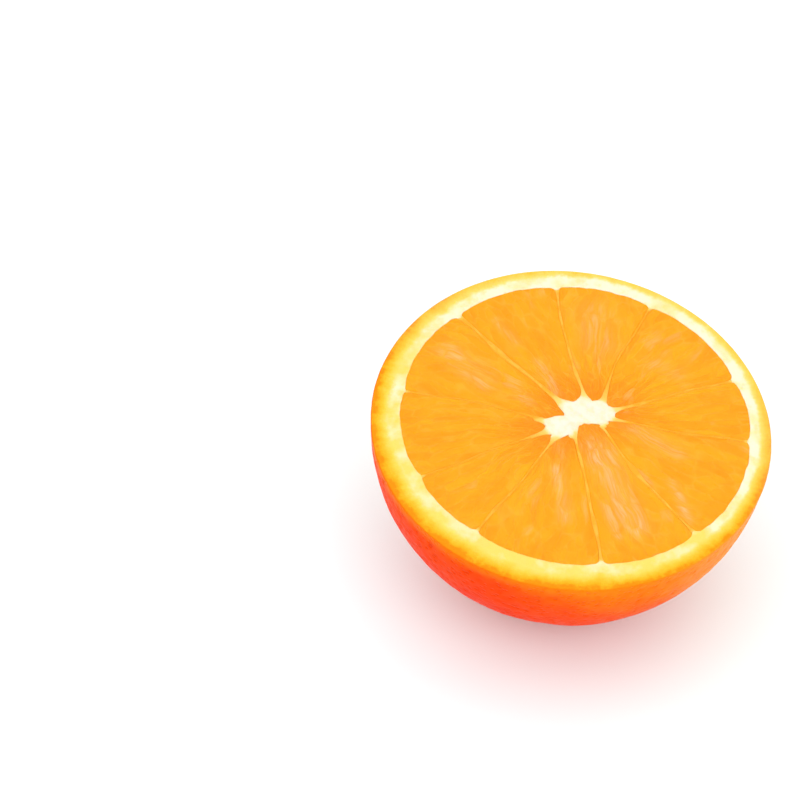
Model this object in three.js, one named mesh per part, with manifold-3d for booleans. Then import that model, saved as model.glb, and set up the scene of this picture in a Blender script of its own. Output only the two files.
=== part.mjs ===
// Half of a sweet orange, cut across its core and lying on its rind with the cut face up.
//
// Millimetres, +Z up. The origin is the centre of the small flat spot that the half rests on,
// and the cut face leans a little towards -Y and +X. The fruit is one grown body: a thick peel,
// ten segments of pulp parted by thin walls, and a white core that the walls run into. The
// relief of the cut face is worked out by formula in the fruit's own axes, where the cut lies
// in the plane z = 0 and the stylar end points down, and the whole body is then leaned over.

import * as THREE from 'three';
import { mergeVertices } from 'three/addons/utils/BufferGeometryUtils.js';
import Module from 'manifold-3d';

// Size of the half
const rimRadius = 38;         // of the rind at the cut
const depth = 39;             // from the cut face down to the stylar end
const rimSwell = 0.006;       // how far the outline strays from a circle, as a share of its radius

// Pose at rest
const leanForward = 9.75;     // degrees, towards -Y
const leanRight = 3.1;        // degrees, towards +X
const flatDepth = 0.58;       // height of rind that is pressed flat under the half

// Peel on the cut face: the coloured rind, then the white pith
const rimRounding = 0.45;     // of the cut edge
const rindWidth = 1.7;        // of the coloured band
const pithSink = 0.18;        // the spongy pith dries a little below the cut

// Pulp
const pulpRadius = 33;
const pulpCentre = new THREE.Vector2(0.9, 0.6);
const pulpSwell = 0.35;       // each segment bulges this far into the pith
const pulpSink = 0.45;        // pulp beside a wall lies this far below the cut
const pulpCrown = 0.35;       // and rises this far again along the middle of its segment

// Core, with two lobes on either side of a waist, and the walls that run out of it. Its edge
// is given by its distance from the centre in some directions, in degrees from +X.
const coreCentre = new THREE.Vector2(1.1, 0.9);
const coreEdge = [
  [0, 6.6], [9, 7.4], [22, 7.2], [36, 6.5], [56, 5.3], [76, 4.9], [97, 3.9], [116, 4.1],
  [136, 3.8], [158, 2.5], [170, 2.4], [181, 4.5], [188, 6.2], [207, 6.5], [221, 6.5], [236, 5.5],
  [252, 4], [264, 2.5], [280, 1.8], [317, 1.8], [336, 2.9], [344, 4.4], [352, 5.7],
];
const coreRise = 0.45;        // the core stands this far above the cut
const wallRise = { atCore: 0.4, atPeel: 0.15 };
const wallWidth = { atCore: 1.4, atPeel: 0.8 };
const wallBend = 5;           // a higher value straightens the walls closer to the core

// Each wall runs from the core to the peel: the direction in which it leaves the core, the
// direction of its outer end, both in degrees from +X about the core's centre, in order
const walls = [
  { leaves: 1, ends: -7 },
  { leaves: 17, ends: 19.3 },
  { leaves: 38, ends: 60.9 },
  { leaves: 70, ends: 94.7 },
  { leaves: 128.5, ends: 132.6 },
  { leaves: 190, ends: 171.4 },
  { leaves: 211, ends: 207.2 },
  { leaves: 229, ends: 234.3 },
  { leaves: 260, ends: 275.5 },
  { leaves: 350, ends: 309.1 },
];

// Stylar scar, the small pit at the bottom of the fruit
const scarPlace = new THREE.Vector2(-1.2, 3.2);
const scarRadius = 1.8;
const scarDepth = 0.5;

// Fineness of the mesh
const raySpacing = 5;         // degrees between rays in the pulp
const domeRows = 17;
const scarRows = [0.8, 1.6, 2.6, 4];            // millimetres from the scar's centre
const pulpRows = 13;
const coreRows = [0.86, 0.45, 0];               // share of the way from the centre to the edge

const radians = THREE.MathUtils.degToRad;
const { lerp, smoothstep } = THREE.MathUtils;

// The rind's radius at the cut in a direction: an even roundness with a slight swell.
function rimAt(angle) {
  return rimRadius * (1 + rimSwell * Math.cos(2 * angle - radians(120)) * 0.6
    + rimSwell * Math.cos(3 * angle + radians(40)) * 0.4);
}

// Distance from the core's centre to a circle about the pulp's centre, in a direction.
function reachTo(radius, angle) {
  const way = new THREE.Vector2(Math.cos(angle), Math.sin(angle));
  const offset = coreCentre.clone().sub(pulpCentre);
  const along = offset.dot(way);
  return Math.sqrt(along * along + radius * radius - offset.lengthSq()) - along;
}

// Distance from the core's centre to its edge in a direction.
function coreReach(angle) {
  const facing = THREE.MathUtils.euclideanModulo(THREE.MathUtils.radToDeg(angle), 360);
  const next = coreEdge.findIndex(([direction]) => direction > facing);
  const [before, near] = coreEdge.at(next - 1 < 0 ? -1 : next - 1);
  const [after, far] = next < 0 ? [coreEdge[0][0] + 360, coreEdge[0][1]] : coreEdge[next];
  return lerp(near, far, smoothstep(facing, before, after));
}

// Direction of a wall at a share of the way out from the core. Past either end of the list
// the walls go round again, a full turn on.
function wallAngle(n, out) {
  const turns = Math.floor(n / walls.length);
  const wall = walls[n - turns * walls.length];
  const swing = 1 - (1 - out) ** wallBend;
  return radians(lerp(wall.leaves, wall.ends, swing) + 360 * turns);
}

// Half the angle that a wall covers there. Where walls crowd at the core they are thinner.
function wallSpread(n, out) {
  const angle = wallAngle(n, out);
  const distance = lerp(coreReach(angle), reachTo(pulpRadius, angle), out);
  const width = lerp(wallWidth.atCore, wallWidth.atPeel, smoothstep(out, 0, 0.5));
  const before = angle - wallAngle(n - 1, out);
  const after = wallAngle(n + 1, out) - angle;
  return Math.min(width / 2 / distance, 0.3 * before, 0.3 * after);
}

// One ray runs from the core to the peel. A wall has three, its crest and its two feet, and
// the pulp between two walls has as many as its width needs.
function makeRays() {
  const rays = [];
  for (let n = 0; n < walls.length; n += 1) {
    for (const side of [-1, 0, 1]) {
      rays.push({ wall: n, side, share: 0, wallness: 1 - Math.abs(side) });
    }
    const width = wallAngle(n + 1, 1) - wallAngle(n, 1);
    const inner = Math.max(3, Math.round(width / radians(raySpacing)) - 1);
    for (let k = 1; k <= inner; k += 1) {
      rays.push({ wall: n, side: 1, share: k / (inner + 1), wallness: 0 });
    }
  }
  const step = 2 * Math.PI / rays.length;
  const start = rays.reduce((sum, ray, k) => sum + rayAngle(ray, 1) - k * step, 0) / rays.length;
  rays.forEach((ray, k) => {
    ray.rindAngle = start + k * step;
  });
  return rays;
}

// Direction of a ray at a share of the way out from the core to the peel.
function rayAngle(ray, out) {
  const foot = wallAngle(ray.wall, out) + ray.side * wallSpread(ray.wall, out);
  const nextFoot = wallAngle(ray.wall + 1, out) - wallSpread(ray.wall + 1, out);
  return ray.share === 0 ? foot : lerp(foot, nextFoot, ray.share);
}

// How far a ray is from its nearest wall: 0 at the wall and 1 along the segment's middle.
function middleness(ray) {
  return Math.sin(Math.PI * ray.share);
}

function pulpPoint(ray, out) {
  const angle = rayAngle(ray, out);
  const swell = pulpSwell * (2 * middleness(ray) - 1);
  const distance = lerp(coreReach(angle), reachTo(pulpRadius + swell, angle), out);
  const crest = lerp(wallRise.atCore, wallRise.atPeel, smoothstep(out, 0, 0.6));
  const fromEnds = smoothstep(out, 0, 0.25) * (1 - smoothstep(out, 0.9, 1));
  const pulp = -pulpSink + pulpCrown * middleness(ray) * fromEnds;
  return new THREE.Vector3(
    coreCentre.x + distance * Math.cos(angle),
    coreCentre.y + distance * Math.sin(angle),
    lerp(pulp, crest, ray.wallness),
  );
}

function corePoint(ray, share) {
  const angle = rayAngle(ray, 0);
  const distance = coreReach(angle) * share;
  return new THREE.Vector3(
    coreCentre.x + distance * Math.cos(angle),
    coreCentre.y + distance * Math.sin(angle),
    coreRise,
  );
}

// A point of the peel's cut, at a share of the way out from the pulp to the coloured rind.
// The rays spread out evenly on their way through the peel.
function peelPoint(ray, share) {
  const inner = pulpPoint(ray, 1);
  const outer = rimPoint(ray, rindWidth, 0);
  const point = inner.lerp(outer, share);
  point.z = -pithSink * Math.sin(Math.PI * share);
  return point;
}

function rimPoint(ray, inset, drop) {
  const radius = rimAt(ray.rindAngle) - inset;
  return new THREE.Vector3(
    radius * Math.cos(ray.rindAngle),
    radius * Math.sin(ray.rindAngle),
    -drop,
  );
}

// A point of the rind's outside. The polar angle is 0 at the scar and a right angle at the rim.
function domePoint(ray, polar) {
  const rim = rimPoint(ray, 0, rimRounding);
  const shift = Math.cos(polar) ** 2;
  const x = rim.x * Math.sin(polar) + scarPlace.x * shift;
  const y = rim.y * Math.sin(polar) + scarPlace.y * shift;
  const girth = lerp(Math.hypot(rim.x, rim.y), rimRadius, shift);
  const roundness = Math.hypot(x, y) / girth;
  const fromScar = Math.hypot(x - scarPlace.x, y - scarPlace.y) / scarRadius;
  const pit = scarDepth * Math.exp(-fromScar * fromScar);
  const height = (depth - rimRounding) * Math.sqrt(Math.max(0, 1 - roundness * roundness));
  return new THREE.Vector3(x, y, pit - rimRounding - height);
}

// The rows of the body run from the scar up the rind, over the rim and in to the core.
function bodyRows() {
  const rows = [(ray) => domePoint(ray, 0)];
  for (const radius of scarRows) {
    rows.push((ray) => domePoint(ray, Math.asin(radius / rimRadius)));
  }
  const first = Math.asin(scarRows[scarRows.length - 1] / rimRadius);
  for (let n = 1; n <= domeRows; n += 1) {
    rows.push((ray) => domePoint(ray, lerp(first, Math.PI / 2, n / domeRows)));
  }
  rows.push((ray) => rimPoint(ray, rimRounding * 0.3, rimRounding * 0.3));
  rows.push((ray) => rimPoint(ray, rimRounding, 0));
  for (const share of [1, 0.5, 0.12]) {
    rows.push((ray) => peelPoint(ray, share));
  }
  for (let n = pulpRows; n >= 0; n -= 1) {
    rows.push((ray) => pulpPoint(ray, n / pulpRows));
  }
  for (const share of coreRows) {
    rows.push((ray) => corePoint(ray, share));
  }
  return rows;
}

// A lathe turned from a plain outline of the half gives the net of faces, and each of its
// points is then put in place by row and ray.
function makeBody() {
  const rays = makeRays();
  const rows = bodyRows();
  const outline = rows.map((row, n) => {
    const atAxis = n === 0 || n === rows.length - 1;
    const point = row(rays[1]);
    return new THREE.Vector2(atAxis ? 0 : Math.hypot(point.x, point.y), point.z);
  });
  const body = new THREE.LatheGeometry(outline, rays.length);
  const places = body.getAttribute('position');
  for (let column = 0; column <= rays.length; column += 1) {
    const ray = rays[column % rays.length];
    rows.forEach((row, n) => {
      const point = row(ray);
      places.setXYZ(column * rows.length + n, point.x, point.y, point.z);
    });
  }
  return closeUp(body);
}

// Shared points are merged, and the faces that the two poles squash to a line are dropped.
function closeUp(geometry) {
  geometry.deleteAttribute('normal');
  geometry.deleteAttribute('uv');
  const merged = mergeVertices(geometry, 1e-4);
  const corners = merged.getIndex().array;
  const kept = [];
  for (let n = 0; n < corners.length; n += 3) {
    const [a, b, c] = corners.slice(n, n + 3);
    if (a !== b && b !== c && c !== a) {
      kept.push(a, b, c);
    }
  }
  merged.setIndex(kept);
  return merged;
}

const wasm = await Module();
wasm.setup();

function toSolid(geometry) {
  return new wasm.Manifold(new wasm.Mesh({
    numProp: 3,
    vertProperties: new Float32Array(geometry.getAttribute('position').array),
    triVerts: new Uint32Array(geometry.getIndex().array),
  }));
}

function toGeometry(solid) {
  const mesh = solid.getMesh();
  const geometry = new THREE.BufferGeometry();
  geometry.setAttribute('position', new THREE.BufferAttribute(mesh.vertProperties, 3));
  geometry.setIndex(new THREE.BufferAttribute(mesh.triVerts, 1));
  geometry.computeVertexNormals();
  return geometry;
}

// The lean turns the fruit forward about X and then to the right about Y. Its lowest point
// goes a little below z = 0, so that the cut there leaves the flat spot round the origin.
function restPose() {
  const lean = new THREE.Euler(radians(leanForward), radians(leanRight), 0, 'YXZ');
  const turned = new THREE.Matrix4().makeRotationFromEuler(lean);
  const down = new THREE.Vector3(0, 0, -1).applyMatrix4(turned.clone().transpose());
  const lowest = new THREE.Vector3(
    rimRadius ** 2 * down.x,
    rimRadius ** 2 * down.y,
    depth ** 2 * down.z,
  );
  const height = Math.sqrt(lowest.dot(down));
  const spot = lowest.multiplyScalar((height - flatDepth) / height ** 2);
  return turned.setPosition(spot.applyMatrix4(turned).negate());
}

const body = makeBody().applyMatrix4(restPose());
const tableSize = 120;
const table = new THREE.BoxGeometry(tableSize, tableSize, tableSize);
table.translate(0, 0, -tableSize / 2);
const half = toSolid(body).subtract(toSolid(closeUp(table)));

const orange = new THREE.Mesh(
  toGeometry(half),
  new THREE.MeshStandardMaterial({ color: 0xfda31e, roughness: 0.38, metalness: 0 }),
);
orange.name = 'orange_half';

const group = new THREE.Group();
group.add(orange);

export default group;
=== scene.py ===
import math

import bmesh
import bpy
import numpy as np
from mathutils import Euler, Matrix, Vector, noise


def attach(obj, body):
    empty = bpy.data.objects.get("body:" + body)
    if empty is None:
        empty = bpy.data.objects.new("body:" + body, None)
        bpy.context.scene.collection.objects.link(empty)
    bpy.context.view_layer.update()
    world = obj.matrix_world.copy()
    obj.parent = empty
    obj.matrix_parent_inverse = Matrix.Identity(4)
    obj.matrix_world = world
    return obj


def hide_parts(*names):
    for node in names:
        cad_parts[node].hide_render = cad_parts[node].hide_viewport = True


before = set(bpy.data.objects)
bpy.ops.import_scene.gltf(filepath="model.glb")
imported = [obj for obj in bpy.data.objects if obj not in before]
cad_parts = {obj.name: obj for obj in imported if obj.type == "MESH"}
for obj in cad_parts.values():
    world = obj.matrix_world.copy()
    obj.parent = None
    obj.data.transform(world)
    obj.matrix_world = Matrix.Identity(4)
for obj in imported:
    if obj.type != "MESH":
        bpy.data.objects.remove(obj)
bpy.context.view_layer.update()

# Shapes are worked out in the fruit's own axes, in millimetres: the cut lies in z = 0 and the
# stylar end points down. restPose then leans the half over and stands it on its flat spot.
fruit = {
    "rimRadius": 38.0,
    "depth": 39.0,
    "rimSwell": 0.006,        # how far the outline strays from a circle, as a share
    "leanForward": 9.75,      # degrees, towards -Y
    "leanRight": 3.1,         # degrees, towards +X
    "flatDepth": 0.58,        # height of rind pressed flat under the half
    "pulpRadius": 33.0,
    "pulpCentre": (0.9, 0.6),
    "coreCentre": (1.1, 0.9),
    "wallBend": 5.0,          # a higher value straightens the walls closer to the core
    "wallLength": 27.0,       # about, from the core to the peel
    "wallWander": 0.55,       # degrees that a wall sways on its way out
    "notchWidth": (0.7, 3.2),       # of the sharp and the soft notch in the pulp's edge at a wall
    "ripple": 0.16,           # height of the fine unevenness of the pulp's edge
    # distance of the core's edge from its centre, by direction in degrees from +X
    "coreEdge": [
        (0, 6.6), (9, 7.4), (22, 7.2), (36, 6.5), (56, 5.3), (76, 4.9), (97, 3.9), (116, 4.1), (136, 3.8),
        (158, 2.5), (170, 2.4), (181, 4.5), (188, 6.2), (207, 6.5), (221, 6.5), (236, 5.5), (252, 4.0),
        (264, 2.5), (280, 1.8), (317, 1.8), (336, 2.9), (344, 4.4), (352, 5.7),
    ],
    # each wall leaves the core in one direction and ends at the peel in another, in degrees;
    # root is its width at the core and width that further out, with a swelling part of
    # the way out; seen is how plainly it stands out from the pulp, from 0 to 1
    "walls": [
        {"leaves": 1.0, "ends": -7.0, "root": 1.6, "width": 0.45, "swell": (0.3, 0.1), "seen": 0.4},
        {"leaves": 17.0, "ends": 19.3, "root": 2.1, "width": 0.55, "swell": (0.2, 0.4), "seen": 0.7},
        {"leaves": 38.0, "ends": 60.9, "root": 3.0, "width": 0.42, "swell": (0.12, 0.5), "seen": 0.4},
        {"leaves": 70.0, "ends": 94.7, "root": 3.3, "width": 0.55, "swell": (0.25, 0.3), "seen": 0.8},
        {"leaves": 128.5, "ends": 132.6, "root": 4.6, "width": 0.8, "swell": (0.58, 0.8), "seen": 1.0},
        {"leaves": 190.0, "ends": 171.4, "root": 2.2, "width": 0.36, "swell": (0.1, 0.2), "seen": 0.3},
        {"leaves": 211.0, "ends": 207.2, "root": 2.6, "width": 0.36, "swell": (0.12, 0.3), "seen": 0.3},
        {"leaves": 229.0, "ends": 234.3, "root": 2.7, "width": 0.45, "swell": (0.75, 0.4), "seen": 0.65},
        {"leaves": 260.0, "ends": 275.5, "root": 2.4, "width": 0.65, "swell": (0.7, 0.45), "seen": 1.0},
        {"leaves": 350.0, "ends": 309.1, "root": 1.4, "width": 0.5, "swell": (0.44, 1.05), "seen": 0.9},
    ],
}
wallCount = len(fruit["walls"])
coreCentre = np.array(fruit["coreCentre"])


def restPose():
    lean = Euler((math.radians(fruit["leanForward"]), math.radians(fruit["leanRight"]), 0))
    turned = lean.to_matrix()
    down = turned.transposed() @ Vector((0, 0, -1))
    radius, depth = fruit["rimRadius"], fruit["depth"]
    lowest = Vector((radius ** 2 * down.x, radius ** 2 * down.y, depth ** 2 * down.z))
    height = math.sqrt(lowest.dot(down))
    spot = turned @ lowest * ((height - fruit["flatDepth"]) / height ** 2)
    inMillimetres = Matrix.Translation(-spot) @ turned.to_4x4()
    return Matrix.Scale(0.001, 4) @ inMillimetres


pose = restPose()


def smoothStep(low, high, x):
    t = np.clip((x - low) / (high - low), 0, 1)
    return t * t * (3 - 2 * t)


def softNoise(points, size, seed):
    # size is that of one swell; points is an (n, 3) array
    shift = Vector((seed, seed * 1.7, seed * 0.6))
    scaled = np.asarray(points) / size
    return np.array([noise.noise(Vector(p) + shift) for p in scaled])


def nearestCells(points):
    # distances to the two nearest cell centres, and four steady random numbers for the cell
    first, second, tag = [], [], []
    for p in points:
        distances, centres = noise.voronoi(Vector(p))
        first.append(distances[0])
        second.append(distances[1])
        tag.append(centres[0])
    tag = np.array(tag)
    draws = [np.sin(tag @ np.array(way)) * 43758.5453 % 1.0 for way in (
        (12.99, 78.23, 37.72), (39.35, 11.14, 83.16), (73.16, 52.24, 9.15), (26.65, 63.73, 47.9))]
    return np.array(first), np.array(second), tag, draws


def rimAt(angle):
    swell = np.cos(2 * angle - math.radians(120)) * 0.6 + np.cos(3 * angle + math.radians(40)) * 0.4
    return fruit["rimRadius"] * (1 + fruit["rimSwell"] * swell)


def reachTo(radius, angle):
    # from the core's centre out to a circle round the pulp's centre
    offset = coreCentre - np.array(fruit["pulpCentre"])
    along = offset[0] * np.cos(angle) + offset[1] * np.sin(angle)
    return np.sqrt(along ** 2 + radius ** 2 - offset @ offset) - along


def coreReach(angle):
    edge = np.array(fruit["coreEdge"] + [(360, fruit["coreEdge"][0][1])], float)
    facing = np.degrees(angle) % 360
    k = np.clip(np.searchsorted(edge[:, 0], facing, side="right") - 1, 0, len(edge) - 2)
    return edge[k, 1] + (edge[k + 1, 1] - edge[k, 1]) * smoothStep(edge[k, 0], edge[k + 1, 0], facing)


def wallAngle(n, out):
    # direction of a wall at a share of the way out from the core; n may run past the list
    turns, k = divmod(n, wallCount)
    wall = fruit["walls"][k]
    swing = 1 - (1 - np.clip(out, 0, 1)) ** fruit["wallBend"]
    wander = fruit["wallWander"] * np.sin(math.pi * out) * np.sin(9 * out + 2.3 * k)
    return np.radians(wall["leaves"] + (wall["ends"] - wall["leaves"]) * swing + wander + 360 * turns)


def wallWidth(n, out):
    # broad at the core and thin further out, with a swelling on the way
    wall = fruit["walls"][n % wallCount]
    place, extra = wall["swell"]
    full = fruit["wallLength"]
    reach = np.asarray(out) * full
    width = wall["width"] * (1 + 0.2 * np.sin(reach * 0.9 + n % wallCount))
    width = width + extra * np.exp(-((out - place) / 0.075) ** 2)
    # it flares where it meets the peel, and more where it leaves the core
    width = width + (0.6 + 0.3 * wall["seen"]) * np.exp(-(full - np.minimum(reach, full)) / 0.8)
    flare = 0.65 * np.exp(-reach / 1.2) + 0.35 * np.exp(-reach / 0.5)
    return width + (wall["root"] - wall["width"]) * flare


def wallEdge(n, out, side):
    # direction of one edge of a wall, side being -1 or 1, or of a line in between
    angle = wallAngle(n, out)
    near = coreReach(angle)
    distance = near + (reachTo(fruit["pulpRadius"], angle) - near) * out
    beyond = n + 1 if side > 0 else n - 1
    room = np.abs(wallAngle(beyond, out) - angle)
    return angle + side * np.minimum(wallWidth(n, out) / 2 / distance, 0.47 * room)


def outlineOf(angle):
    # the pulp's outer edge: each segment swells into the pith and each wall pulls it back
    angle = np.asarray(angle)
    radius = np.full(angle.shape, fruit["pulpRadius"])
    sharp, wide = fruit["notchWidth"]
    for n in range(wallCount):
        away = (angle - wallAngle(n, 1.0) + math.pi) % (2 * math.pi) - math.pi
        room = fruit["pulpRadius"] * np.abs(away)
        radius -= (0.1 + 0.7 * fruit["walls"][n]["seen"]) * np.exp(-(room / sharp) ** 2)
        radius -= 0.3 * np.exp(-(room / wide) ** 2)
    ripple = softNoise(np.stack([np.cos(angle), np.sin(angle), 0 * angle], -1).reshape(-1, 3), 0.05, 4.0)
    return reachTo(radius + 0.12 + fruit["ripple"] * ripple.reshape(angle.shape), angle)


def makeNet(columns, rows):
    # a flat net with its own across and along numbers, each from 0 to 1
    net = bmesh.new()
    bmesh.ops.create_grid(net, x_segments=columns, y_segments=rows, size=1)
    mesh = bpy.data.meshes.new("net")
    net.to_mesh(mesh)
    net.free()
    flat = np.zeros(len(mesh.vertices) * 3)
    mesh.vertices.foreach_get("co", flat)
    flat = flat.reshape(-1, 3)
    return mesh, (flat[:, 0] + 1) / 2, (flat[:, 1] + 1) / 2


def fillNet(mesh, places, **values):
    mesh.vertices.foreach_set("co", np.asarray(places, float).ravel())
    for name, numbers in values.items():
        layer = mesh.attributes.new(name, "FLOAT", "POINT")
        layer.data.foreach_set("value", np.asarray(numbers, np.float32))


def closePiece(name, mesh, deep=None):
    # merges the seam and poles, closes an open net downwards, and stands it in its place
    body = bmesh.new()
    body.from_mesh(mesh)
    bmesh.ops.remove_doubles(body, verts=body.verts, dist=1e-5)
    if deep is not None:
        # the sides run down inside the peel and draw in towards the fruit's axis, as it does
        border = [edge for edge in body.edges if edge.is_boundary]
        share, drop = 1.0, 0.0
        for turn in (12, 30, 50, 70):
            narrowed = math.cos(math.radians(turn))
            lowered = deep * math.sin(math.radians(turn))
            grown = bmesh.ops.extrude_edge_only(body, edges=border)["geom"]
            corners = [part for part in grown if isinstance(part, bmesh.types.BMVert)]
            border = [part for part in grown if isinstance(part, bmesh.types.BMEdge)]
            bmesh.ops.scale(body, verts=corners, vec=(narrowed / share, narrowed / share, 1))
            bmesh.ops.translate(body, verts=corners, vec=(0, 0, drop - lowered))
            share, drop = narrowed, lowered
        grown = bmesh.ops.extrude_edge_only(body, edges=border)["geom"]
        corners = [part for part in grown if isinstance(part, bmesh.types.BMVert)]
        bottom = sum((corner.co for corner in corners), Vector()) / len(corners)
        bmesh.ops.pointmerge(body, verts=corners, merge_co=bottom)
    bmesh.ops.dissolve_degenerate(body, edges=body.edges, dist=1e-6)
    body.transform(pose)
    # whatever would reach below the floor is pressed flat on it
    for corner in body.verts:
        corner.co.z = max(corner.co.z, 0.0)
    bmesh.ops.recalc_face_normals(body, faces=body.faces)
    for face in body.faces:
        face.smooth = True
    body.to_mesh(mesh)
    body.free()
    mesh.name = name
    piece = bpy.data.objects.new(name, mesh)
    bpy.context.scene.collection.objects.link(piece)
    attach(piece, "root")
    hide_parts("orange_half")
    return piece


# Peel: the rind outside, the rounded rim, the cut band of rind and pith, and the hollow inside
peel = {
    "around": 600,            # points round the rim
    "domeRows": 118,
    "rimRounding": 0.45,
    "rimRows": 5,
    "rimNicks": 0.1,          # height of the rim's fine unevenness
    "cutRows": 26,
    "pithSink": 0.18,
    "pithLumps": (0.05, 0.07),      # heights of the fine and the broad lumps
    "innerDip": 0.45,         # how far the pith turns down where it meets the pulp
    "glandSpacing": 1.75,
    "glandDepth": 0.17,
    "glandSize": 0.42,
    "swells": [(9.0, 0.16), (3.2, 0.05)],   # size and height of the rind's unevenness
    "scarPlace": (-1.2, 3.2),
    "scarRadius": 1.8,
    "scarDepth": 0.5,
    "hollowRows": 8,          # down the hollow that the pulp fills
    "thickness": 5.0,         # from the rind's outside to the hollow
}


def domePlaces(angle, polar):
    shift = np.cos(polar) ** 2
    rim = rimAt(angle)
    x = rim * np.cos(angle) * np.sin(polar) + peel["scarPlace"][0] * shift
    y = rim * np.sin(angle) * np.sin(polar) + peel["scarPlace"][1] * shift
    girth = rim + (fruit["rimRadius"] - rim) * shift
    roundness = np.hypot(x, y) / girth
    height = (fruit["depth"] - peel["rimRounding"]) * np.sqrt(np.clip(1 - roundness ** 2, 0, None))
    z = -peel["rimRounding"] - height
    return np.stack([x, y, z], -1)


def pitRind(places):
    # oil glands are small pits, and the rind between them is gently uneven
    outward = places / np.array([1, 1, fruit["rimRadius"] / fruit["depth"]])
    outward /= np.linalg.norm(outward, axis=1)[:, None]
    near, *_, draws = nearestCells(places / peel["glandSpacing"])
    pit = np.exp(-(near / peel["glandSize"]) ** 2)
    sink = peel["glandDepth"] * pit * (0.5 + draws[0])
    for size, height in peel["swells"]:
        sink -= height * softNoise(places, size, 2.0) - height * 0.2
    rimFade = smoothStep(-0.4, -2.5, places[:, 2])
    away = np.hypot(places[:, 0] - peel["scarPlace"][0], places[:, 1] - peel["scarPlace"][1])
    scar = np.exp(-(away / peel["scarRadius"]) ** 2) * smoothStep(-30, -36, places[:, 2])
    sink += peel["scarDepth"] * scar
    return places - outward * np.maximum(sink, 0)[:, None] * (0.35 + 0.65 * rimFade)[:, None], pit, scar


def makePeel():
    rows = peel["domeRows"] + peel["rimRows"] + peel["cutRows"] + peel["hollowRows"]
    mesh, across, along = makeNet(peel["around"], rows)
    angle = across * 2 * math.pi
    row = np.rint(along * rows).astype(int)
    places = np.zeros((len(row), 3))
    cut = np.zeros(len(row))
    fromPulp = np.ones(len(row))
    pits = np.zeros(len(row))
    scars = np.zeros(len(row))

    onDome = row <= peel["domeRows"]
    polar = (row[onDome] / peel["domeRows"]) * math.pi / 2
    smooth = domePlaces(angle[onDome], polar)
    places[onDome], pits[onDome], scars[onDome] = pitRind(smooth)

    # the rim turns through a quarter circle on to the cut
    start = peel["domeRows"]
    first = start + peel["rimRows"]
    turn = np.clip((row - start) / peel["rimRows"], 0, 1) * math.pi / 2
    onRim = (row > start) & (row <= first)
    rounding = peel["rimRounding"]
    ring = np.stack([3 * np.cos(angle), 3 * np.sin(angle), 0 * angle], -1)
    nick = peel["rimNicks"] * softNoise(ring, 0.2, 7.0)
    rimOut = rimAt(angle) - rounding * (1 - np.cos(turn)) + nick * np.sin(turn) ** 2 - 0.05
    places[onRim] = np.stack([
        rimOut * np.cos(angle), rimOut * np.sin(angle), -rounding + rounding * np.sin(turn)], -1)[onRim]
    cut[onRim] = smoothStep(0.3, 1.0, np.sin(turn[onRim]))

    # across the cut, from the rim in to the pulp
    share = np.clip((row - first) / peel["cutRows"], 0, 1)
    onCut = (row > first) & (row <= first + peel["cutRows"])
    outer = np.stack([np.cos(angle), np.sin(angle)], -1) * (rimAt(angle) - rounding + nick - 0.05)[:, None]
    reach = outlineOf(angle)
    inner = coreCentre + np.stack([reach * np.cos(angle), reach * np.sin(angle)], -1)
    eased = share ** 0.85
    flat = outer + (inner - outer) * eased[:, None]
    points = np.concatenate([flat, np.zeros((len(row), 1))], -1)
    fine, broad = peel["pithLumps"]
    lumps = fine * softNoise(points, 0.8, 1.0) + broad * softNoise(points, 2.6, 3.0)
    sink = peel["pithSink"] * np.sin(math.pi * np.clip(share * 1.1, 0, 1)) ** 0.7
    dip = peel["innerDip"]
    z = (lumps - sink) * smoothStep(0, 0.15, share) - dip * smoothStep(0.955, 1, share) ** 2
    places[onCut] = np.concatenate([flat, z[:, None]], -1)[onCut]
    cut[onCut] = 1
    fromPulp[onCut] = 1 - share[onCut]

    # the hollow that the pulp fills
    last = first + peel["cutRows"]
    onHollow = row > last
    swing = (row[onHollow] - last) / peel["hollowRows"] * math.pi / 2
    floor = fruit["depth"] - peel["thickness"]
    narrowed = inner[onHollow] * np.cos(swing)[:, None]
    sunk = -dip - (floor - dip) * np.sin(swing)
    places[onHollow] = np.concatenate([narrowed, sunk[:, None]], -1)
    cut[onHollow] = 1
    fromPulp[onHollow] = 0

    fillNet(mesh, places, cut=cut, fromPulp=fromPulp, pit=pits, scar=scars)
    return closePiece("peel", mesh)


# Core: the white heart and the ten walls that run out of it, one grown web
core = {
    "acrossWall": (-1.0, -0.8, -0.55, -0.25, 0.0, 0.25, 0.55, 0.8, 1.0),
    "between": 7,             # columns between two walls
    "wallRows": 170,
    "heartRows": 36,
    "heartLevel": 0.06,
    "wallLevel": (0.0, -0.1),       # beside the core and at the peel
    "flank": 0.6,             # how far down a wall's sides go
    "bed": 2.4,               # depth of the web's bed under the pulp
    "endDrop": 0.4,           # how far a wall dips where it runs into the peel
    "grain": (0.06, 0.1),     # heights of the heart's fine and broad unevenness
    "thickness": 6.0,         # of the whole web, from the cut down
}


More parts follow.
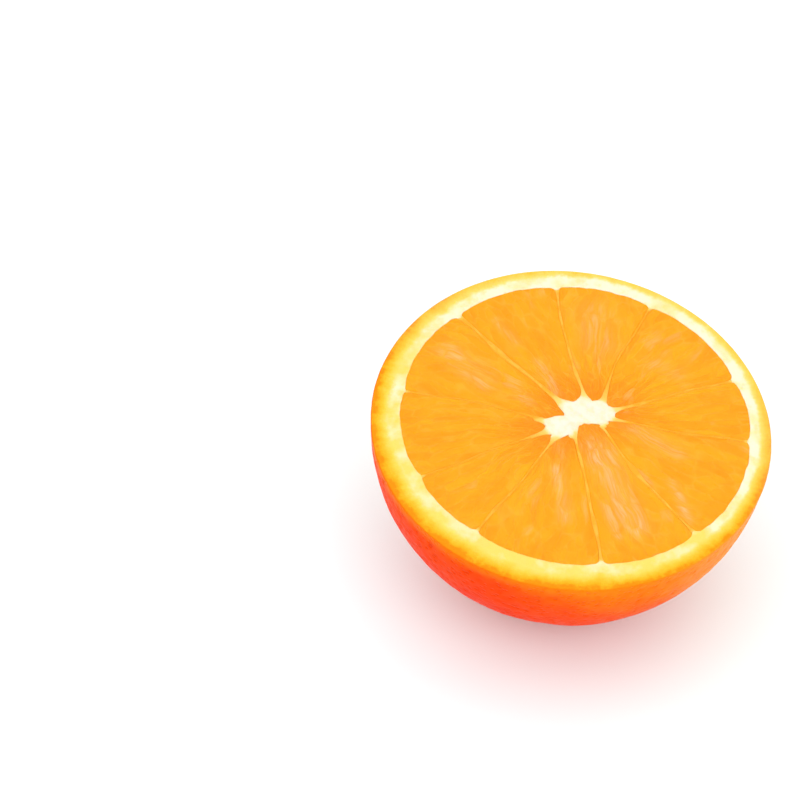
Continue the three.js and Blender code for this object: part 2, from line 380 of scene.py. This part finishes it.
def makeCore():
    offsets = core["acrossWall"]
    perWall = len(offsets) + core["between"]
    columns = perWall * wallCount
    rows = core["wallRows"] + core["heartRows"]
    mesh, across, along = makeNet(columns, rows)
    column = np.rint(across * columns).astype(int)
    row = np.rint(along * rows).astype(int)
    out = np.clip(1.03 * (1 - row / core["wallRows"]), 0, None) ** 1.3
    share = 1 - np.clip((row - core["wallRows"]) / core["heartRows"], 0, 1)
    angle = np.zeros(len(row))
    side = np.ones(len(row))
    seen = np.ones(len(row))
    for n in range(wallCount + 1):
        wall = fruit["walls"][n % wallCount]
        for k in range(perWall):
            here = column == n * perWall + k
            reach = out[here]
            if k < len(offsets):
                angle[here] = wallEdge(n, reach, offsets[k])
                side[here] = abs(offsets[k])
                seen[here] = wall["seen"]
            else:
                left = wallEdge(n, reach, 1)
                right = wallEdge(n + 1, reach, -1)
                angle[here] = left + (right - left) * (k - len(offsets) + 1) / (core["between"] + 1)
    near = coreReach(angle)
    span = reachTo(fruit["pulpRadius"], angle) - near
    distance = (near + span * out) * share
    x = coreCentre[0] + distance * np.cos(angle)
    y = coreCentre[1] + distance * np.sin(angle)
    flatPlaces = np.stack([x, y, 0 * x], -1)

    fromHeart = distance - near          # millimetres outside the heart's edge
    beside, far = core["wallLevel"]
    crest = far + (beside - far) * np.exp(-np.maximum(fromHeart, 0) / 7) - 0.06 * (1 - seen)
    crest = crest + 0.04 * softNoise(flatPlaces, 1.3, 5.0)
    crest -= core["endDrop"] * smoothStep(0.975, 1.0, out)
    wallTop = crest - 0.04 * side ** 2 - core["flank"] * smoothStep(0.78, 1.02, side)
    isBetween = (column % perWall) >= len(offsets)
    web = np.where(isBetween, -core["bed"], wallTop)
    fine, broad = core["grain"]
    fibre = fine * softNoise(flatPlaces, 0.8, 8.0) + broad * softNoise(flatPlaces, 2.4, 9.0)
    heart = core["heartLevel"] + fibre - 0.08 * np.exp(-(distance / 1.2) ** 2)
    z = web + (heart - web) * smoothStep(0.4, -0.1, fromHeart)
    fillNet(mesh, np.stack([x, y, z], -1), fromHeart=fromHeart, seen=seen, beside=side,
            fromPeel=(1 - np.minimum(out, 1)) * span)
    return closePiece("core_and_walls", mesh, core["thickness"])


# Pulp: ten segments, each packed with juice sacs that point at the core
pulp = {
    "across": 150,
    "along": 184,
    "level": -0.1,
    "crown": 0.12,            # rise along a segment's middle
    "shoulder": (0.03, 0.45),       # depth and width of the dip beside walls and peel
    "sacWidth": (0.8, 1.8),   # at the core and at the peel
    "sacLength": (2.4, 4.4),
    "sacHeight": 0.15,
    "sacTilt": 0.07,
    "fineHeight": 0.02,       # of the unevenness of each sac
    "clear": 0.5,             # gap between the segments' lowest ends and the peel
    "tipRound": 0.2,
    "cornerRound": 0.15,      # how far the corners at the peel draw in
    "tuck": (0.1, 0.26),      # how far a segment runs in under the core and the peel
    # painted highlights on the sacs lie in patches: the segment's number, the distance from the core's
    # centre and the direction in degrees of each end of the patch, its width and how bright the painted
    # highlight is
    "pale": [
        (3, (26, 81), (19, 73), 3.2, 0.45),
        (4, (15, 117), (7, 122), 1.0, 0.6),
        (4, (27.6, 122.5), (21, 122), 0.8, 0.6),
        (5, (28, 148), (19, 155), 2.4, 0.6),
        (5, (12.6, 154), (9.6, 160), 1.1, 0.4),
        (2, (20.5, 43), (23.3, 31), 1.6, 0.4),
        (8, (13, 252), (23.6, 263), 1.2, 0.8),
        (8, (6.7, 236), (11.2, 254), 1.0, 0.3),
        (9, (7.5, 296), (26.5, 292), 2.3, 1.0),
        (9, (20, 283), (27.5, 284), 1.0, 0.6),
        (10, (22.4, 320), (30.0, 311), 0.9, 0.8),
        (10, (11.4, 347), (19.9, 339), 1.8, 0.45),
    ],
}


def palePatches(n, x, y):
    # how far a spot lies in one of the segment's patches of painted highlight, from 0 to 1
    value = np.zeros(len(x))
    for segment, start, end, width, strength in pulp["pale"]:
        if segment != n + 1:
            continue
        ends = [coreCentre + d * np.array([math.cos(math.radians(a)), math.sin(math.radians(a))])
                for d, a in (start, end)]
        way = ends[1] - ends[0]
        t = np.clip(((x - ends[0][0]) * way[0] + (y - ends[0][1]) * way[1]) / (way @ way), 0, 1)
        gap = np.hypot(x - ends[0][0] - way[0] * t, y - ends[0][1] - way[1] * t)
        value = np.maximum(value, strength * np.exp(-(gap / width) ** 2))
    return value


def makeSegment(n):
    mesh, across, along = makeNet(pulp["across"], pulp["along"])
    side = across * 2 - 1
    side = np.sign(side) * (1 - (1 - np.abs(side)) ** 1.2)
    full = fruit["wallLength"]
    tip = pulp["tipRound"] * (1 - np.sqrt(1 - np.minimum(np.abs(side), 0.999) ** 3)) / full
    corner = pulp["cornerRound"] / full * np.abs(side) ** 14
    out = tip + (1 - corner - tip) * along
    beside = np.clip(out - pulp["tuck"][0] / full, 0, 1)
    left = wallEdge(n, beside, 0.75)
    right = wallEdge(n + 1, beside, -0.75)
    angle = left + (right - left) * (side + 1) / 2
    near = coreReach(angle) - pulp["tuck"][0]
    length = outlineOf(angle) + pulp["tuck"][1] - near
    distance = near + length * out
    halfWidth = (right - left) / 2 * distance
    x = coreCentre[0] + distance * np.cos(angle)
    y = coreCentre[1] + distance * np.sin(angle)
    fromCore = out * length

    # juice sacs: long cells that lean away from the walls towards the peel
    share = smoothStep(0, 26, fromCore)
    sacWidth = pulp["sacWidth"][0] + (pulp["sacWidth"][1] - pulp["sacWidth"][0]) * share
    sacLength = pulp["sacLength"][0] + (pulp["sacLength"][1] - pulp["sacLength"][0]) * share
    flatPlaces = np.stack([x, y, 0 * x + 5.0 * n], -1)
    bendX = 0.9 * softNoise(flatPlaces, 5.0, 11.0) + 0.16 * softNoise(flatPlaces, 1.8, 12.0)
    bendY = 0.9 * softNoise(flatPlaces, 4.0, 31.0) + 0.12 * softNoise(flatPlaces, 1.5, 32.0)
    grid = np.stack([(side * halfWidth + bendX) / sacWidth, (distance + bendY) / sacLength * 1.3,
                     0 * side + 7.31 * n + 0.4], -1)
    first, second, tag, draws = nearestCells(grid)
    gap = second - first
    seam = np.exp(-(gap / 0.13) ** 2)
    body = 1 - np.exp(-gap / 0.2)
    lean = (grid[:, 0] - tag[:, 0]) * (draws[1] - 0.5) + (grid[:, 1] - tag[:, 1]) * (draws[2] - 0.5)
    sacs = pulp["sacHeight"] * (body - 0.5 + 0.9 * (draws[0] - 0.5) * body) + 2 * pulp["sacTilt"] * lean
    sacs += pulp["fineHeight"] * softNoise(flatPlaces, 0.55, 14.0)

    fromWall = (1 - np.abs(side)) * halfWidth
    fromEdge = np.minimum(fromWall, np.minimum(fromCore, (1 - out) * length))
    middle = np.cos(side * math.pi / 2) * smoothStep(0, 7, fromCore) * smoothStep(0, 4, (1 - out) * length)
    depth, width = pulp["shoulder"]
    shoulder = np.exp(-(fromEdge / width) ** 2)
    z = pulp["level"] + pulp["crown"] * middle + sacs * (1 - 0.8 * shoulder) - depth * shoulder
    z -= 0.1 * (1 - smoothStep(0, 0.14, fromEdge))
    # painted highlights: pale patches and scattered pale flakes on single sacs stand in for glints of light
    # on the wet pulp
    pale = palePatches(n, x, y) * (0.42 + 0.58 * smoothStep(0.35, 0.5, draws[3]))
    pale *= 0.3 + 0.7 * body
    glintFlakes = smoothStep(0.86, 0.9, draws[3]) * smoothStep(-0.1, 0.2, softNoise(flatPlaces, 8.0, 51.0))
    pale = np.maximum(pale, 0.3 * glintFlakes * body)
    fillNet(mesh, np.stack([x, y, z], -1), tone=draws[0], seam=seam, pale=pale,
            fromCore=fromCore, acrossSac=grid[:, 0], alongSac=grid[:, 1])
    deep = fruit["depth"] - peel["thickness"] - pulp["clear"]
    return closePiece(f"segment_{n + 1:02d}", mesh, deep)


# Shading helpers
def newMaterial(name):
    material = bpy.data.materials.new(name)
    material.use_nodes = True
    nodes = material.node_tree.nodes
    return material, material.node_tree, nodes["Principled BSDF"]


def addNode(tree, kind, **settings):
    made = tree.nodes.new(kind)
    for name, value in settings.items():
        if hasattr(made, name):
            setattr(made, name, value)
        else:
            made.inputs[name].default_value = value
    return made


def attribute(tree, name):
    return addNode(tree, "ShaderNodeAttribute", attribute_name=name).outputs["Fac"]


def combine(tree, operation, a, b, clamp=False):
    # one Math node; a and b are sockets or plain numbers
    made = addNode(tree, "ShaderNodeMath", operation=operation, use_clamp=clamp)
    for socket, value in zip(made.inputs, (a, b)):
        if isinstance(value, (int, float)):
            socket.default_value = value
        else:
            tree.links.new(value, socket)
    return made.outputs[0]


def mapRange(tree, value, low, high, toLow=0.0, toHigh=1.0, soft=True):
    made = addNode(tree, "ShaderNodeMapRange")
    made.interpolation_type = "SMOOTHSTEP" if soft else "LINEAR"
    tree.links.new(value, made.inputs["Value"])
    for name, number in zip(("From Min", "From Max", "To Min", "To Max"), (low, high, toLow, toHigh)):
        made.inputs[name].default_value = number
    return made.outputs["Result"]


def mixColor(tree, factor, a, b, blend="MIX"):
    made = addNode(tree, "ShaderNodeMix", data_type="RGBA", blend_type=blend)
    for name, kind, value in (("Factor", "VALUE", factor), ("A", "RGBA", a), ("B", "RGBA", b)):
        # a Mix node has sockets of the same name for each kind of data
        socket = next(s for s in made.inputs if s.name == name and s.type == kind)
        if isinstance(value, tuple):
            socket.default_value = (*value, 1.0)
        else:
            tree.links.new(value, socket)
    return next(s for s in made.outputs if s.type == "RGBA")


def colorRamp(tree, factor, stops):
    made = addNode(tree, "ShaderNodeValToRGB")
    ramp = made.color_ramp
    while len(ramp.elements) < len(stops):
        ramp.elements.new(0.5)
    for element, (position, color) in zip(ramp.elements, stops):
        element.position = position
        element.color = (*color, 1.0)
    tree.links.new(factor, made.inputs["Fac"])
    return made.outputs["Color"]


def fruitAxes(tree):
    # the fruit's own axes in millimetres, from Object coordinates
    turnBack = pose.to_3x3().normalized().inverted()
    shift = turnBack @ (-pose.translation) * 1000
    where = addNode(tree, "ShaderNodeTexCoord")
    mapping = addNode(tree, "ShaderNodeMapping", Location=shift, Rotation=turnBack.to_euler(),
                      Scale=(1000, 1000, 1000))
    tree.links.new(where.outputs["Object"], mapping.inputs["Vector"])
    return mapping.outputs["Vector"]


def makeMottle():
    # soft cloudy variation round 0.5, at a size in millimetres
    group = bpy.data.node_groups.new("mottle", "ShaderNodeTree")
    group.interface.new_socket("Place", in_out="INPUT", socket_type="NodeSocketVector")
    size = group.interface.new_socket("Size", in_out="INPUT", socket_type="NodeSocketFloat")
    size.default_value = 2.0
    group.interface.new_socket("Value", in_out="OUTPUT", socket_type="NodeSocketFloat")
    start = group.nodes.new("NodeGroupInput")
    end = group.nodes.new("NodeGroupOutput")
    scale = combine(group, "DIVIDE", 1.0, start.outputs["Size"])
    cloud = addNode(group, "ShaderNodeTexNoise", Detail=4.0, Roughness=0.55)
    group.links.new(start.outputs["Place"], cloud.inputs["Vector"])
    group.links.new(scale, cloud.inputs["Scale"])
    group.links.new(cloud.outputs["Fac"], end.inputs["Value"])
    return group


mottleGroup = makeMottle()


def mottle(tree, place, size):
    made = addNode(tree, "ShaderNodeGroup")
    made.node_tree = mottleGroup
    made.inputs["Size"].default_value = size
    tree.links.new(place, made.inputs["Place"])
    return made.outputs["Value"]


def addBump(tree, shader, height, distance, strength):
    bump = addNode(tree, "ShaderNodeBump", Strength=strength, Distance=distance)
    tree.links.new(height, bump.inputs["Height"])
    tree.links.new(bump.outputs["Normal"], shader.inputs["Normal"])


def setSkin(shader, skin):
    for name, value in skin.items():
        shader.inputs[name].default_value = value


peelLook = {
    # the rind ramp runs from orange to red: its redder stops are painted shade, laid on low down and
    # towards -X
    "rind": [(0.0, (0.86, 0.165, 0.002)), (0.35, (0.86, 0.07, 0.001)), (1.0, (0.84, 0.03, 0.001))],
    "besideRim": (0.86, 0.21, 0.004),
    # painted light: the pale colour laid on the +X side of the rind
    "litSide": (0.86, 0.42, 0.1),
    "end": (0.86, 0.1, 0.002),
    "far": (0.86, 0.18, 0.007),
    # painted shade: darkens the rind in the oil-gland pits
    "pitShade": (0.95, 0.84, 0.8),           # darkens the rind's own colour
    "scar": (0.4, 0.15, 0.03),
    # across the cut, from the pulp to the rim
    "cut": [(0.0, (0.85, 0.5, 0.08)), (0.06, (0.85, 0.59, 0.13)), (0.45, (0.85, 0.59, 0.13)),
            (0.58, (0.85, 0.56, 0.095)), (0.69, (0.85, 0.51, 0.058)), (0.8, (0.85, 0.44, 0.028)),
            (0.91, (0.85, 0.37, 0.013)), (1.0, (0.85, 0.245, 0.006))],
    "creamy": (0.85, 0.73, 0.53),
    "yellow": (0.85, 0.56, 0.1),
    "greenish": (0.66, 0.49, 0.035),
    "pallor": (0.85, 0.55, 0.3),
    "rough": (0.38, 0.6),     # on the rind and on the cut
    "bump": (0.00028, 0.85),  # height in metres, and strength
    "skin": {"Subsurface Weight": 0.3, "Subsurface Radius": (1.0, 0.3, 0.06),
             "Subsurface Scale": 0.0014, "Specular IOR Level": 0.015},
}


def peelMaterial():
    material, tree, shader = newMaterial("peel")
    place = fruitAxes(tree)
    axes = addNode(tree, "ShaderNodeSeparateXYZ")
    tree.links.new(place, axes.inputs["Vector"])
    wide = mottle(tree, place, 14.0)
    fine = mottle(tree, place, 1.6)

    # rind: painted shade makes it redder low down and towards -X, and painted shade darkens the gland pits
    low = mapRange(tree, axes.outputs["Z"], -0.5, -30.0, soft=False)
    low = combine(tree, "ADD", low, mapRange(tree, wide, 0.3, 0.7, -0.12, 0.12))
    low = combine(tree, "ADD", low, mapRange(tree, axes.outputs["X"], -34.0, 34.0, 0.55, -0.35), clamp=True)
    rind = colorRamp(tree, low, peelLook["rind"])
    pores = addNode(tree, "ShaderNodeTexVoronoi", Scale=0.85)
    tree.links.new(place, pores.inputs["Vector"])
    dimple = mapRange(tree, pores.outputs["Distance"], 0.05, 0.42)
    # painted shade in the pits: the rind darkens towards each pore's middle and in the mesh's pits
    pitShading = mapRange(tree, dimple, 0, 1, 0.8, 0, soft=False)
    pitShading = combine(tree, "MAXIMUM", attribute(tree, "pit"), pitShading)
    rind = mixColor(tree, pitShading, rind, peelLook["pitShade"], blend="MULTIPLY")
    # painted light: the rind is more orange just under the rim, the top end of the same painted shading
    besideRim = mapRange(tree, axes.outputs["Z"], -3.5, -0.3, 0.0, 0.55)
    rind = mixColor(tree, besideRim, rind, peelLook["besideRim"])
    # painted light makes the +X side paler than the rest; the end is less red, and the far side a plain
    # orange
    litSideShare = mapRange(tree, axes.outputs["X"], 12.0, 34.0, 0.0, 0.36)
    rind = mixColor(tree, litSideShare, rind, peelLook["litSide"])
    nearEnd = mapRange(tree, axes.outputs["Z"], -29.0, -38.0, 0.0, 0.6)
    rind = mixColor(tree, nearEnd, rind, peelLook["end"])
    farness = mapRange(tree, axes.outputs["Y"], -1.0, 26.0, 0.0, 0.9)
    rind = mixColor(tree, farness, rind, peelLook["far"])
    scar = combine(tree, "MULTIPLY", attribute(tree, "scar"), mapRange(tree, fine, 0.35, 0.6, 0.85, 1.2))
    rind = mixColor(tree, mapRange(tree, scar, 0.22, 0.75), rind, peelLook["scar"])

    # cut: pith towards the pulp, coloured rind towards the rim
    fromPulp = attribute(tree, "fromPulp")
    wavy = mapRange(tree, mottle(tree, place, 4.5), 0.3, 0.7, -0.07, 0.07)
    wavy = combine(tree, "ADD", wavy, mapRange(tree, mottle(tree, place, 1.1), 0.3, 0.7, -0.035, 0.035))
    # the coloured band is narrower on the far and right sides, and the pith creamier
    aside = combine(tree, "ADD", combine(tree, "MULTIPLY", axes.outputs["X"], 0.5), axes.outputs["Y"])
    wavy = combine(tree, "ADD", wavy, mapRange(tree, aside, 0.0, 42.0, 0.0, -0.3, soft=False))
    middle = mapRange(tree, fromPulp, 0.15, 0.5)
    across = combine(tree, "ADD", fromPulp, combine(tree, "MULTIPLY", wavy, middle), clamp=True)
    cutColor = colorRamp(tree, across, peelLook["cut"])
    inPith = mapRange(tree, across, 0.62, 0.35)
    creamy = combine(tree, "ADD", mapRange(tree, mottle(tree, place, 8.0), 0.34, 0.66, -0.5, 0.5),
                     mapRange(tree, aside, -36.0, 26.0, 0.0, 1.0, soft=False), clamp=True)
    cutColor = mixColor(tree, combine(tree, "MULTIPLY", creamy, inPith), cutColor, peelLook["creamy"])
    yellow = mapRange(tree, mottle(tree, place, 3.1), 0.5, 0.68, 0.0, 0.4)
    cutColor = mixColor(tree, combine(tree, "MULTIPLY", yellow, inPith), cutColor, peelLook["yellow"])
    pallor = mapRange(tree, aside, -10.0, 25.0, 0.0, 0.16)
    pallor = combine(tree, "MULTIPLY", pallor, mapRange(tree, across, 0.5, 0.7))
    cutColor = mixColor(tree, pallor, cutColor, peelLook["pallor"])
    green = mapRange(tree, mottle(tree, place, 5.0), 0.54, 0.7)
    green = combine(tree, "ADD", green, mapRange(tree, aside, 5.0, 35.0, 0.0, 0.85), clamp=True)
    green = combine(tree, "MULTIPLY", green, mapRange(tree, across, 0.62, 0.8))
    green = combine(tree, "MULTIPLY", green, mapRange(tree, across, 1.0, 0.86, 0, 0.55))
    cutColor = mixColor(tree, green, cutColor, peelLook["greenish"])
    color = mixColor(tree, attribute(tree, "cut"), rind, cutColor)
    tree.links.new(color, shader.inputs["Base Color"])

    rough = mapRange(tree, attribute(tree, "cut"), 0.0, 1.0, *peelLook["rough"])
    rough = combine(tree, "ADD", rough, mapRange(tree, fine, 0.3, 0.7, -0.04, 0.04))
    tree.links.new(rough, shader.inputs["Roughness"])
    height = addNode(tree, "ShaderNodeMix", data_type="FLOAT")
    tree.links.new(attribute(tree, "cut"), height.inputs[0])
    tree.links.new(dimple, height.inputs[2])
    tree.links.new(mapRange(tree, mottle(tree, place, 0.45), 0, 1, 0.3, 0.7), height.inputs[3])
    addBump(tree, shader, height.outputs[0], *peelLook["bump"])
    setSkin(shader, peelLook["skin"])
    return material


coreLook = {
    # outwards over 10 mm, starting 2 mm inside the heart's edge
    "web": [(0.0, (0.85, 0.7, 0.58)), (0.16, (0.85, 0.695, 0.55)), (0.24, (0.85, 0.64, 0.33)),
            (0.32, (0.85, 0.56, 0.15)), (0.45, (0.85, 0.48, 0.085)), (0.65, (0.85, 0.43, 0.06)),
            (1.0, (0.85, 0.4, 0.04))],
    "vein": (0.85, 0.66, 0.4),
    "faint": (0.85, 0.33, 0.012),
    "end": (0.85, 0.6, 0.13),
    "bed": (0.85, 0.28, 0.008),
    "rough": (0.4, 0.6),      # at its smoothest and its roughest
    "bump": (0.00016, 0.6),
    "skin": {"Subsurface Weight": 0.5, "Subsurface Radius": (1.0, 0.6, 0.25),
             "Subsurface Scale": 0.0008, "Coat Weight": 0.03, "Coat Roughness": 0.3,
             "Specular IOR Level": 0.15},
}


def coreMaterial():
    material, tree, shader = newMaterial("core")
    place = fruitAxes(tree)
    fromHeart = attribute(tree, "fromHeart")
    ragged = mapRange(tree, mottle(tree, place, 1.2), 0.3, 0.7, -0.35, 0.35)
    # white in the heart, and yellower out along the walls
    fading = combine(tree, "MULTIPLY", mapRange(tree, attribute(tree, "seen"), 1.0, 0.2, 0.0, 1.6),
                     mapRange(tree, fromHeart, -0.2, 1.2))
    reach = combine(tree, "ADD", combine(tree, "ADD", fromHeart, ragged), fading)
    color = colorRamp(tree, mapRange(tree, reach, -2.0, 8.0, soft=False), coreLook["web"])
    vein = mapRange(tree, mottle(tree, place, 1.8), 0.42, 0.66, 0.0, 0.8)
    vein = combine(tree, "MULTIPLY", vein, mapRange(tree, fromHeart, 0.6, -0.2))
    color = mixColor(tree, vein, color, coreLook["vein"])
    # walls that hardly show take the pulp's colour, and so do their sides
    hidden = mapRange(tree, attribute(tree, "seen"), 1.0, 0.2, 0.0, 0.8)
    hidden = combine(tree, "MULTIPLY", hidden, mapRange(tree, fromHeart, 1.5, 6.0))
    patchy = mapRange(tree, mottle(tree, place, 3.0), 0.4, 0.58, 0, 0.9)
    hidden = combine(tree, "ADD", hidden, patchy, clamp=True)
    hidden = combine(tree, "MULTIPLY", hidden, mapRange(tree, fromHeart, 1.0, 4.0))
    edge = mapRange(tree, attribute(tree, "beside"), 0.35, 0.95, 0.0, 0.7)
    edge = combine(tree, "MULTIPLY", edge, mapRange(tree, fromHeart, 1.0, 5.0))
    hidden = combine(tree, "MAXIMUM", hidden, edge)
    color = mixColor(tree, hidden, color, coreLook["faint"])
    color = mixColor(tree, mapRange(tree, attribute(tree, "fromPeel"), 1.5, 0.2), color, coreLook["end"])
    axes = addNode(tree, "ShaderNodeSeparateXYZ")
    tree.links.new(place, axes.inputs["Vector"])
    color = mixColor(tree, mapRange(tree, axes.outputs["Z"], -0.3, -0.7), color, coreLook["bed"])
    tree.links.new(color, shader.inputs["Base Color"])
    rough = mapRange(tree, mottle(tree, place, 0.8), 0.3, 0.7, *coreLook["rough"])
    tree.links.new(rough, shader.inputs["Roughness"])
    addBump(tree, shader, mottle(tree, place, 0.5), *coreLook["bump"])
    setSkin(shader, coreLook["skin"])
    return material


pulpLook = {
    "deep": (0.84, 0.215, 0.006),
    "body": (0.85, 0.276, 0.005),
    "light": (0.86, 0.34, 0.008),
    # colour of the painted highlights on the pulp
    "pale": (0.86, 0.42, 0.17),
    "seam": (0.86, 0.37, 0.03),
    "rough": (0.26, 0.44),
    "bump": (0.00007, 0.4),
    "skin": {"Subsurface Weight": 0.6, "Subsurface Radius": (1.0, 0.35, 0.06),
             "Subsurface Scale": 0.0015, "Coat Weight": 0.04, "Coat Roughness": 0.2,
             "Specular IOR Level": 0.08},
}


def pulpMaterial():
    material, tree, shader = newMaterial("pulp")
    place = fruitAxes(tree)
    sacs = addNode(tree, "ShaderNodeCombineXYZ")
    tree.links.new(attribute(tree, "acrossSac"), sacs.inputs[0])
    tree.links.new(attribute(tree, "alongSac"), sacs.inputs[1])
    tone = combine(tree, "ADD", combine(tree, "MULTIPLY", attribute(tree, "tone"), 0.5),
                   mapRange(tree, mottle(tree, sacs.outputs[0], 2.2), 0.35, 0.65, -0.1, 0.5), clamp=True)
    body = mixColor(tree, tone, pulpLook["body"], pulpLook["light"])
    deepness = mapRange(tree, attribute(tree, "fromCore"), 11.0, 0.5, 0.0, 0.8)
    body = mixColor(tree, deepness, body, pulpLook["deep"])
    # thin skins between the sacs show paler here and there
    patch = mapRange(tree, mottle(tree, place, 4.0), 0.42, 0.62, 0.1, 0.55)
    body = mixColor(tree, combine(tree, "MULTIPLY", attribute(tree, "seam"), patch), body, pulpLook["seam"])
    # fine threads inside the sacs
    threads = addNode(tree, "ShaderNodeCombineXYZ")
    tree.links.new(combine(tree, "MULTIPLY", attribute(tree, "acrossSac"), 3.4), threads.inputs[0])
    tree.links.new(combine(tree, "MULTIPLY", attribute(tree, "alongSac"), 1.1), threads.inputs[1])
    thread = mapRange(tree, mottle(tree, threads.outputs[0], 1.0), 0.4, 0.6, 0.45, 1.25)
    # painted highlights, broken up along the threads
    pale = combine(tree, "MULTIPLY", attribute(tree, "pale"), thread, clamp=True)
    body = mixColor(tree, pale, body, pulpLook["pale"])
    tree.links.new(body, shader.inputs["Base Color"])
    rough = mapRange(tree, mottle(tree, place, 1.2), 0.3, 0.7, *pulpLook["rough"])
    tree.links.new(rough, shader.inputs["Roughness"])
    height = combine(tree, "ADD", mottle(tree, threads.outputs[0], 0.5), mottle(tree, place, 0.5))
    addBump(tree, shader, height, *pulpLook["bump"])
    setSkin(shader, pulpLook["skin"])
    return material


def paint(piece, material):
    piece.data.materials.clear()
    piece.data.materials.append(material)


peelPiece = makePeel()
paint(peelPiece, peelMaterial())
print("peel made", len(peelPiece.data.polygons))
corePiece = makeCore()
paint(corePiece, coreMaterial())
print("core and walls made", len(corePiece.data.polygons))
juicy = pulpMaterial()
for n in range(wallCount):
    segment = makeSegment(n)
    paint(segment, juicy)
print("ten segments made")


# Studio: a plain pale floor, soft lamps, a white sky and the camera
studio = {
    "floorSize": 24.0,
    "floor": {"Base Color": (0.82, 0.93, 0.94, 1), "Roughness": 0.6, "Specular IOR Level": 0.2},
    "skyStrength": 1.14,
    "lens": 100.0,
    "sensor": 36.0,
    "cameraFromFace": (-32.27, -308.73, 283.36),    # from the cut face's centre, in millimetres
    "cameraDown": 42.0,       # degrees below the horizon
    "lampAim": (0, 0, 0.03),
    # places and sizes in metres, power in watts; every lamp faces the fruit
    "lamps": [
        {"name": "key", "place": (-0.8, -0.35, 0.85), "size": 1.2, "power": 1.9, "color": (1, 0.985, 0.96)},
        {"name": "front", "place": (0.5, -0.9, 0.8), "size": 0.9, "power": 4.1, "color": (1, 1, 1)},
        {"name": "top", "place": (0.0, 0.1, 1.6), "size": 1.4, "power": 2.4, "color": (1, 1, 1)},
    ],
}


def makeFloor():
    shape = bmesh.new()
    bmesh.ops.create_grid(shape, x_segments=1, y_segments=1, size=studio["floorSize"] / 2)
    mesh = bpy.data.meshes.new("floor")
    shape.to_mesh(mesh)
    shape.free()
    floor = bpy.data.objects.new("floor", mesh)
    bpy.context.scene.collection.objects.link(floor)
    material, _, shader = newMaterial("floor")
    setSkin(shader, studio["floor"])
    mesh.materials.append(material)


def makeLamps():
    for lamp in studio["lamps"]:
        light = bpy.data.lights.new(lamp["name"], "AREA")
        light.shape = "DISK"
        light.size = lamp["size"]
        light.energy = lamp["power"]
        light.color = lamp["color"]
        holder = bpy.data.objects.new(lamp["name"], light)
        holder.location = lamp["place"]
        aim = Vector(studio["lampAim"]) - Vector(lamp["place"])
        holder.rotation_euler = aim.to_track_quat("-Z", "Y").to_euler()
        bpy.context.scene.collection.objects.link(holder)


def makeSky():
    world = bpy.data.worlds.new("sky")
    world.use_nodes = True
    bpy.context.scene.world = world
    tree = world.node_tree
    back = tree.nodes["Background"]
    back.inputs["Color"].default_value = (1, 1, 1, 1)
    # plain white to look at, and a little stronger as a lamp
    path = addNode(tree, "ShaderNodeLightPath")
    seen = mapRange(tree, path.outputs["Is Camera Ray"], 0, 1, studio["skyStrength"], 1.0, soft=False)
    tree.links.new(seen, back.inputs["Strength"])


def makeCamera():
    camera = bpy.data.objects.new("camera", bpy.data.cameras.new("camera"))
    camera.data.lens = studio["lens"]
    camera.data.sensor_width = studio["sensor"]
    camera.data.clip_start = 0.01
    camera.location = pose.translation + Vector(studio["cameraFromFace"]) * 0.001
    camera.rotation_euler = (math.radians(90 - studio["cameraDown"]), 0, 0)
    bpy.context.scene.collection.objects.link(camera)
    bpy.context.scene.camera = camera


makeFloor()
makeLamps()
makeSky()
makeCamera()
scene = bpy.context.scene
scene.view_settings.view_transform = "Standard"
scene.cycles.use_denoising = True
print("studio made")
